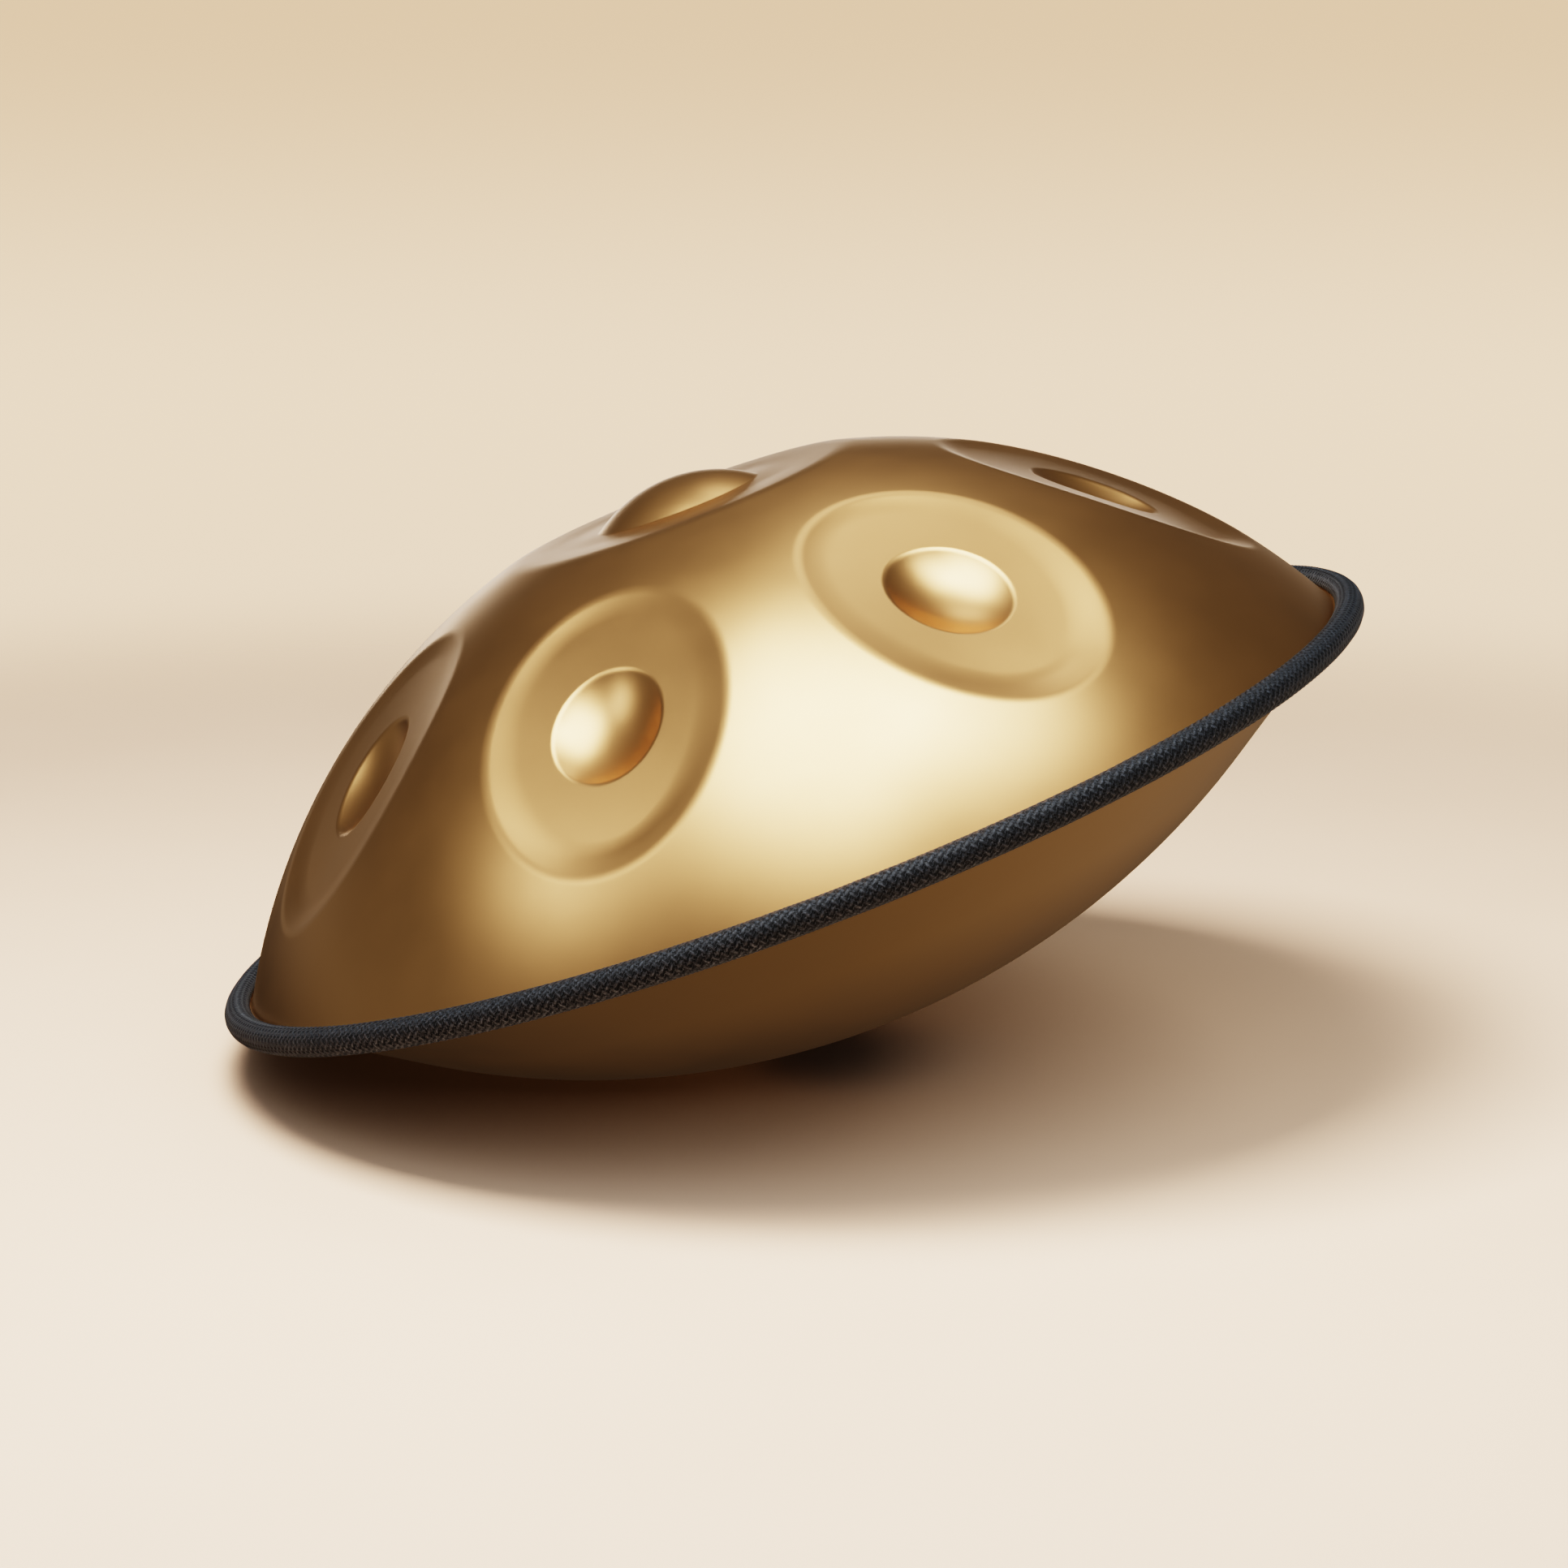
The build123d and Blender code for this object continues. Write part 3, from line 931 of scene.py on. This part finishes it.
def stage_direction(azimuth, elevation):
    """A direction on the stage: azimuth 0 towards the camera, positive to the right."""
    right, near, floor_up = stage_axes()
    a, e = math.radians(azimuth), math.radians(elevation)
    level = near * math.cos(a) + right * math.sin(a)
    return level * math.cos(e) + floor_up * math.sin(e)


def floor_touch():
    """Where the leaning bowl touches the floor."""
    _, _, floor_up = stage_axes()
    centre = Vector((0, 0, (SEAM + BOWL_Z) * MM))
    return centre - floor_up * (BOWL_R * MM + FLOOR_CLEAR)


def floor_material(touch):
    """Pale paper that is clear from below and far from the instrument."""
    m = Nodes("floor_paper")
    colour = m.ramp(m.noise(3, 3), [(0.3, (0.49, 0.41, 0.35)), (0.7, (0.51, 0.43, 0.37))])
    m.link(colour, m.shader.inputs["Base Color"])
    m.set(Roughness=0.9, Specular_IOR_Level=0.1)
    away = m.add("ShaderNodeVectorMath", operation="DISTANCE")
    m.link(m.place, away.inputs[0])
    away.inputs[1].default_value = touch
    fade = m.add("ShaderNodeMapRange", interpolation_type="SMOOTHERSTEP")
    fade.inputs["From Min"].default_value = FADE_START
    fade.inputs["From Max"].default_value = FADE_END
    m.link(away.outputs["Value"], fade.inputs["Value"])
    below = m.add("ShaderNodeNewGeometry").outputs["Backfacing"]
    most = m.add("ShaderNodeMath", operation="MAXIMUM")
    m.link(fade.outputs["Result"], most.inputs[0])
    m.link(below, most.inputs[1])
    clear = m.add("ShaderNodeBsdfTransparent")
    mix = m.add("ShaderNodeMixShader")
    m.link(most.outputs[0], mix.inputs[0])
    m.link(m.shader.outputs[0], mix.inputs[1])
    m.link(clear.outputs[0], mix.inputs[2])
    m.link(mix.outputs[0], m.output.inputs["Surface"])
    return m.material


def make_floor():
    """A pale disc under the instrument that fades into the backdrop and is clear from below."""
    right, near, _ = stage_axes()
    touch = floor_touch()
    ring = [
        touch + (right * math.cos(a) + near * -math.sin(a)) * FLOOR_RADIUS
        for a in (2 * math.pi * k / FLOOR_POINTS for k in range(FLOOR_POINTS))
    ]
    mesh = bpy.data.meshes.new("floor")
    mesh.from_pydata([tuple(v) for v in ring], [], [tuple(range(FLOOR_POINTS))])
    mesh.materials.append(floor_material(touch))
    floor = bpy.data.objects.new("floor", mesh)
    bpy.context.scene.collection.objects.link(floor)
    floor.visible_glossy = False  # the steel mirrors the dim room instead
    return floor


def make_softbox(name, azimuth, elevation, distance, width, height, face):
    """An area light aimed at the instrument, given by the colour and brightness of its face."""
    data = bpy.data.lights.new(name, "AREA")
    data.shape = "RECTANGLE"
    data.size = width
    data.size_y = height
    brightest = max(face)
    data.color = [c / brightest for c in face]
    data.energy = brightest * math.pi * width * height
    light = bpy.data.objects.new(name, data)
    out = stage_direction(azimuth, elevation)
    middle = Vector((0, 0, SEAM * MM))
    _, _, floor_up = stage_axes()
    side = floor_up.cross(out)
    side.normalize()
    turn = Matrix((side, out.cross(side), out)).transposed().to_4x4()
    light.matrix_world = Matrix.Translation(middle + out * distance) @ turn
    light.visible_camera = False
    bpy.context.scene.collection.objects.link(light)
    return light


def light_only(light, name, things):
    """Limits what a light shines on; everything still stands in its way."""
    group = bpy.data.collections.new(name)
    for thing in things:
        group.objects.link(thing)
    light.light_linking.receiver_collection = group


def make_lights(floor):
    """Soft lights for the instrument, and others for the floor under it."""
    instrument = [o for o in bpy.context.scene.objects if o.type == "MESH" and o is not floor]
    for name, *place in INSTRUMENT_LIGHTS:
        light_only(make_softbox(name, *place), name + "_on", instrument)
    for name, *place in FLOOR_LIGHTS:
        light_only(make_softbox(name, *place), name + "_on", [floor])


def colour_steps(tree, value, stops):
    """A smooth ramp through a row of colours."""
    ramp = tree.nodes.new("ShaderNodeValToRGB")
    ramp.color_ramp.interpolation = "EASE"
    fill_ramp(ramp, stops)
    tree.links.new(value, ramp.inputs["Fac"])
    return ramp.outputs["Color"]


def pointing_share(tree, ray, towards, low, high, interpolation="LINEAR"):
    """How far a direction points towards another: 0 at the low cosine, 1 at the high one."""
    dot = tree.nodes.new("ShaderNodeVectorMath")
    dot.operation = "DOT_PRODUCT"
    dot.inputs[1].default_value = towards
    tree.links.new(ray, dot.inputs[0])
    share = tree.nodes.new("ShaderNodeMapRange")
    share.interpolation_type = interpolation
    share.inputs["From Min"].default_value = low
    share.inputs["From Max"].default_value = high
    tree.links.new(dot.outputs["Value"], share.inputs["Value"])
    return share.outputs["Result"]


def room_colour(tree, ray, rise):
    """Colour of the dim room that lights and mirrors: its left, running into its right."""
    level_right, _, _ = stage_axes()
    both = tree.nodes.new("ShaderNodeMix")
    both.data_type = "RGBA"
    share = pointing_share(tree, ray, level_right, 0, SIDE_REACH, "SMOOTHSTEP")
    tree.links.new(share, both.inputs["Factor"])
    tree.links.new(colour_steps(tree, rise, ROOM_LEFT), both.inputs[6])
    tree.links.new(colour_steps(tree, rise, ROOM_RIGHT), both.inputs[7])
    return both.outputs[2]


def make_world():
    """The backdrop that the camera sees, and the dimmer room that lights and mirrors."""
    world = bpy.data.worlds.new("room")
    bpy.context.scene.world = world
    world.use_nodes = True
    tree = world.node_tree
    tree.nodes.clear()
    _, _, floor_up = stage_axes()
    ray = tree.nodes.new("ShaderNodeTexCoord").outputs["Generated"]
    rise = pointing_share(tree, ray, floor_up, -1, 1)
    seen = tree.nodes.new("ShaderNodeBackground")
    tree.links.new(colour_steps(tree, rise, BACKDROP), seen.inputs["Color"])
    around = tree.nodes.new("ShaderNodeBackground")
    tree.links.new(room_colour(tree, ray, rise), around.inputs["Color"])
    path = tree.nodes.new("ShaderNodeLightPath")
    mix = tree.nodes.new("ShaderNodeMixShader")
    tree.links.new(path.outputs["Is Camera Ray"], mix.inputs[0])
    tree.links.new(around.outputs[0], mix.inputs[1])
    tree.links.new(seen.outputs[0], mix.inputs[2])
    output = tree.nodes.new("ShaderNodeOutputWorld")
    tree.links.new(mix.outputs[0], output.inputs["Surface"])


def make_instrument():
    steel = steel_material()
    make_top_shell(steel)
    make_bottom_shell(steel)
    make_trim(rubber_material("extruded_rubber", (0.022, 0.022, 0.023), 0.42))
    make_rope(rope_material())
    make_patch(rubber_material("self_adhesive_strip", (0.03, 0.03, 0.031), 0.55))
    adhesive = adhesive_material()
    dress_node("flange_adhesive", adhesive)
    dress_node("rope_adhesive", adhesive)
    dress_node("rope_core", laid_fibre_material())


make_camera()
make_instrument()
make_lights(make_floor())
make_world()
bpy.context.scene.view_settings.view_transform = "Filmic"
bpy.context.scene.view_settings.look = "Very High Contrast"
